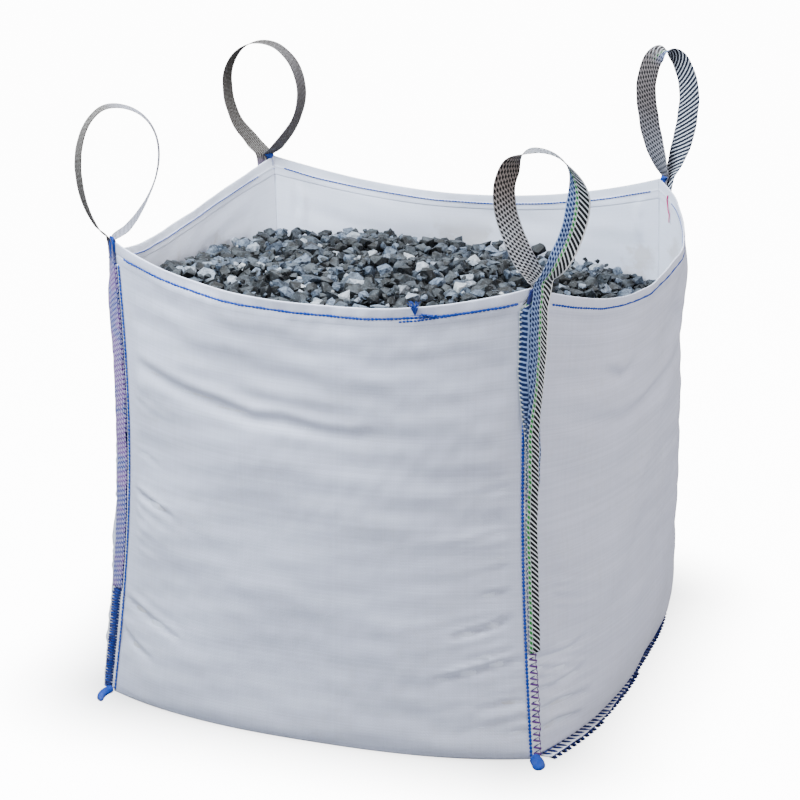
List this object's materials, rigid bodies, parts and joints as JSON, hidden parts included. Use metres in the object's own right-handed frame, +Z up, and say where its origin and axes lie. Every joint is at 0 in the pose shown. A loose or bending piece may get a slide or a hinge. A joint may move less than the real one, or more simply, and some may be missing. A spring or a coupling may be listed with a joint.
{
  "type": "open-top bulk bag filled with stone chippings",
  "caption": "Open-top woven bulk bag with webbing lifting loops at its corners, standing full of stone chippings.",
  "frame": {"origin": "middle of the base, on the floor that the bag stands on", "axes": "+Z up; -Y out of the front, which is one end of the wrap panel; +X to the right seen from the front"},
  "size_m": [1.1537, 1.1252, 1.2777],
  "materials": {
    "woven_cloth": "woven polypropylene tape cloth, cool off-white, slight sheen",
    "webbing": "woven polypropylene webbing, dark and white diagonal stripe with a green tracer",
    "overlock": "blue and white overlock stitches over a cut cloth edge",
    "blue_thread": "thick blue polypropylene sewing thread",
    "pink_thread": "thin pink sewing thread",
    "stone_chippings": "angular slate chippings, charcoal to light blue-grey, dusty"
  },
  "bodies": {
    "bag": {"wrap_panel": "woven_cloth", "side_panel_left": "woven_cloth", "base_seam_left": "overlock", "side_panel_right": "woven_cloth", "base_seam_right": "overlock", "strap_leg_front_left": "webbing", "strap_end_front_left": "webbing", "corner_tack_front_left": "blue_thread", "corner_seam_front_left": "overlock", "seam_ear_front_left": "blue_thread", "strap_leg_front_right": "webbing", "strap_end_front_right": "webbing", "corner_tack_front_right": "blue_thread", "corner_seam_front_right": "overlock", "seam_ear_front_right": "blue_thread", "strap_leg_back_right": "webbing", "strap_end_back_right": "webbing", "corner_tack_back_right": "blue_thread", "corner_seam_back_right": "overlock", "seam_ear_back_right": "blue_thread", "strap_leg_back_left": "webbing", "strap_end_back_left": "webbing", "corner_tack_back_left": "blue_thread", "corner_seam_back_left": "overlock", "seam_ear_back_left": "blue_thread", "hem_stitch_front": "blue_thread", "hem_stitch_right": "blue_thread", "hem_stitch_back": "blue_thread", "hem_stitch_left": "blue_thread", "marker_thread": "pink_thread", "gravel_bed": "stone_chippings"},
    "loop_front_left": {"lifting_loop_front_left": "webbing"},
    "loop_front_right": {"lifting_loop_front_right": "webbing"},
    "loop_back_right": {"lifting_loop_back_right": "webbing"},
    "loop_back_left": {"lifting_loop_back_left": "webbing"}
  },
  "joints": [
    {"name": "fold_loop_front_left", "type": "hinge", "parent": "bag", "child": "loop_front_left", "pos_m": [-0.44984, -0.42486, 0.9795], "axis": [0.6411, -0.7675, 0], "range_deg": [-45, 75], "stiffness_Nm_per_rad": 0.3},
    {"name": "fold_loop_front_right", "type": "hinge", "parent": "bag", "child": "loop_front_right", "pos_m": [0.4553, -0.44096, 0.9715], "axis": [0.5672, 0.8236, 0], "range_deg": [-60, 85], "stiffness_Nm_per_rad": 0.3},
    {"name": "fold_loop_back_right", "type": "hinge", "parent": "bag", "child": "loop_back_right", "pos_m": [0.48178, 0.44308, 0.9865], "axis": [-0.6891, 0.7247, 0], "range_deg": [-70, 90], "stiffness_Nm_per_rad": 0.3},
    {"name": "fold_loop_back_left", "type": "hinge", "parent": "bag", "child": "loop_back_left", "pos_m": [-0.47596, 0.42784, 0.9725], "axis": [-0.4995, -0.8663, 0], "range_deg": [-45, 70], "stiffness_Nm_per_rad": 0.3}
  ]
}
